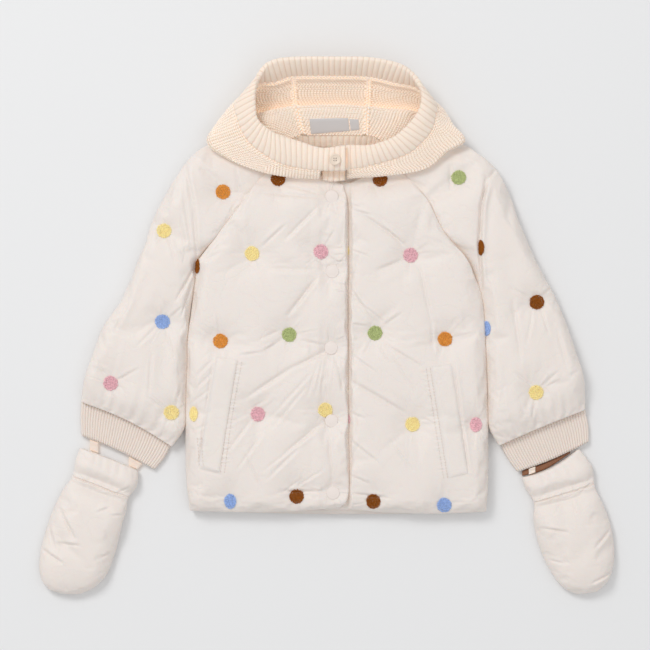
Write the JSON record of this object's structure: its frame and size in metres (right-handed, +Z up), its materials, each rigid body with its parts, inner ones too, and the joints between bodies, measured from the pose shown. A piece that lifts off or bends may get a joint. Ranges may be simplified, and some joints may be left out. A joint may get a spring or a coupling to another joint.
{
  "type": "padded jacket",
  "caption": "Child's padded jacket laid flat face up: press-stud front, raglan sleeves, knitted hood with ribbed brim, rib cuffs, slanted welts and hanging mittens.",
  "frame": {"origin": "on the flat underside of the back panel, under the centre line of the placket, midway between the hood's top edge and the mitten tips", "axes": "+Z up out of the surface the jacket lies on, +Y towards the hood, +X towards the wearer's left sleeve"},
  "size_m": [0.5755, 0.5372, 0.0431],
  "materials": {
    "shell": "satin-faced woven nylon over loose filling",
    "knit": "thick cotton knit, matt",
    "snaps": "moulded, semi-gloss",
    "label": "woven tape, matt",
    "lining": "brushed, matt"
  },
  "bodies": {
    "root": {"back": "shell", "front_right": "shell", "front_left": "shell", "sleeve_right": "shell", "sleeve_left": "shell", "pocket_welt_right": "shell", "pocket_welt_left": "shell", "mitten_right": "shell", "mitten_left": "shell", "cuff_right": "knit", "cuff_left": "knit", "hood_brim": "knit", "hood_side_right": "knit", "hood_center": "knit", "hood_side_left": "knit", "neck_rib": "knit", "neck_rib_end": "knit", "mitten_tab_1": "knit", "mitten_tab_2": "knit", "mitten_tab_3": "knit", "snap_1": "snaps", "snap_2": "snaps", "snap_3": "snaps", "snap_4": "snaps", "snap_5": "snaps", "hood_button": "snaps", "label": "label", "size_tab": "label", "mitten_lining_left": "lining"}
  },
  "joints": []
}
